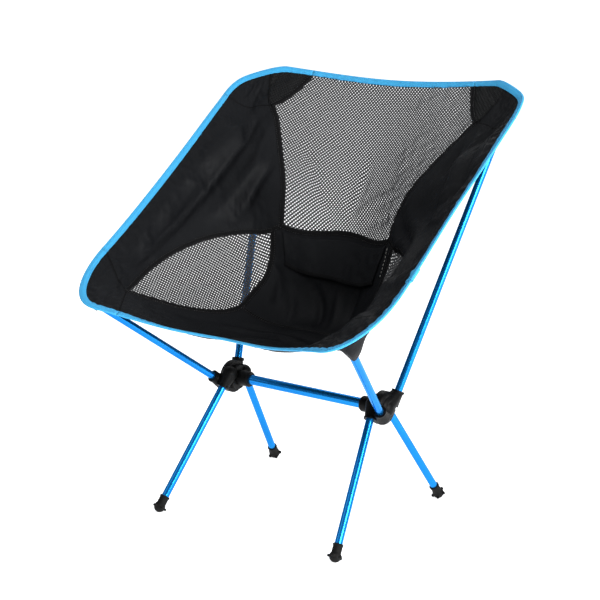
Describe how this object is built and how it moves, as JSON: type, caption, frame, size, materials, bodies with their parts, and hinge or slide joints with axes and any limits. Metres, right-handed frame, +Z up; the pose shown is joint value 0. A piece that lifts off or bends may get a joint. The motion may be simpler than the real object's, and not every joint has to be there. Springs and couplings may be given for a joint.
{
  "type": "folding camp chair",
  "caption": "Low ultralight backpacking chair: sling seat of cloth and mesh hung on pole tips over a crossbar, two hubs and splayed legs",
  "frame": {"origin": "on the floor, under the middle of the outline", "axes": "+Z up, -Y the way the sitter faces, +X to the left of the sitter"},
  "size_m": [0.5454, 0.5154, 0.6629],
  "materials": {
    "blue_anodised": "satin",
    "plain_aluminium": "satin",
    "black_nylon": "matte",
    "black_rubber": "matte",
    "shock_cord": "matte",
    "black_cloth": "matte",
    "black_mesh": "matte",
    "blue_binding": "matte"
  },
  "bodies": {
    "frame": {"crossbar": "blue_anodised", "crossbar_cord": "shock_cord", "front_band": "black_cloth", "seat_panel": "black_cloth", "back_mesh": "black_mesh", "seat_pouch": "black_cloth", "binding_front": "blue_binding", "binding_top": "blue_binding", "hub_left": "black_nylon", "seat_pole_left": "blue_anodised", "seat_pole_left_cord": "shock_cord", "tip_front_left": "black_nylon", "back_pole_lower_left": "blue_anodised", "back_pole_upper_left": "blue_anodised", "ferrule_left": "plain_aluminium", "back_pole_cord_left": "shock_cord", "tip_back_left": "black_nylon", "wing_left": "black_cloth", "side_mesh_left": "black_mesh", "binding_side_left": "blue_binding", "hub_right": "black_nylon", "seat_pole_right": "blue_anodised", "seat_pole_right_cord": "shock_cord", "tip_front_right": "black_nylon", "back_pole_lower_right": "blue_anodised", "back_pole_upper_right": "blue_anodised", "ferrule_right": "plain_aluminium", "back_pole_cord_right": "shock_cord", "tip_back_right": "black_nylon", "wing_right": "black_cloth", "side_mesh_right": "black_mesh", "binding_side_right": "blue_binding"},
    "leg_front_left": {"leg_front_left": "blue_anodised", "leg_front_left_cord": "shock_cord", "foot_front_left": "black_rubber"},
    "leg_rear_left": {"leg_rear_left": "blue_anodised", "leg_rear_left_cord": "shock_cord", "foot_rear_left": "black_rubber"},
    "leg_front_right": {"leg_front_right": "blue_anodised", "leg_front_right_cord": "shock_cord", "foot_front_right": "black_rubber"},
    "leg_rear_right": {"leg_rear_right": "blue_anodised", "leg_rear_right_cord": "shock_cord", "foot_rear_right": "black_rubber"},
    "pocket_front_left": {"pocket_front_left": "black_cloth", "corner_front_left": "black_cloth", "binding_corner_front_left": "blue_binding"},
    "pocket_back_left": {"pocket_back_left": "black_cloth", "corner_back_left": "black_cloth", "binding_corner_back_left": "blue_binding"},
    "pocket_front_right": {"pocket_front_right": "black_cloth", "corner_front_right": "black_cloth", "binding_corner_front_right": "blue_binding"},
    "pocket_back_right": {"pocket_back_right": "black_cloth", "corner_back_right": "black_cloth", "binding_corner_back_right": "blue_binding"}
  },
  "joints": [
    {"name": "front_left_leg_pull", "type": "slide", "parent": "frame", "child": "leg_front_left", "axis": [0.1208, -0.6105, -0.7827], "range_m": [0, 0.03], "stiffness_N_per_m": 60, "springref_m": -0.05},
    {"name": "rear_left_leg_pull", "type": "slide", "parent": "frame", "child": "leg_rear_left", "axis": [0.1324, 0.5587, -0.8187], "range_m": [0, 0.03], "stiffness_N_per_m": 60, "springref_m": -0.05},
    {"name": "front_right_leg_pull", "type": "slide", "parent": "frame", "child": "leg_front_right", "axis": [-0.1208, -0.6105, -0.7827], "range_m": [0, 0.03], "stiffness_N_per_m": 60, "springref_m": -0.05},
    {"name": "rear_right_leg_pull", "type": "slide", "parent": "frame", "child": "leg_rear_right", "axis": [-0.1324, 0.5587, -0.8187], "range_m": [0, 0.03], "stiffness_N_per_m": 60, "springref_m": -0.05},
    {"name": "front_left_corner_pull", "type": "slide", "parent": "frame", "child": "pocket_front_left", "axis": [0.2857, -0.752, 0.5941], "range_m": [0, 0.028], "stiffness_N_per_m": 300, "springref_m": -0.02},
    {"name": "back_left_corner_pull", "type": "slide", "parent": "frame", "child": "pocket_back_left", "axis": [0.1557, 0.4097, 0.8988], "range_m": [0, 0.028], "stiffness_N_per_m": 300, "springref_m": -0.02},
    {"name": "front_right_corner_pull", "type": "slide", "parent": "frame", "child": "pocket_front_right", "axis": [-0.2857, -0.752, 0.5941], "range_m": [0, 0.028], "stiffness_N_per_m": 300, "springref_m": -0.02},
    {"name": "back_right_corner_pull", "type": "slide", "parent": "frame", "child": "pocket_back_right", "axis": [-0.1557, 0.4097, 0.8988], "range_m": [0, 0.028], "stiffness_N_per_m": 300, "springref_m": -0.02}
  ]
}
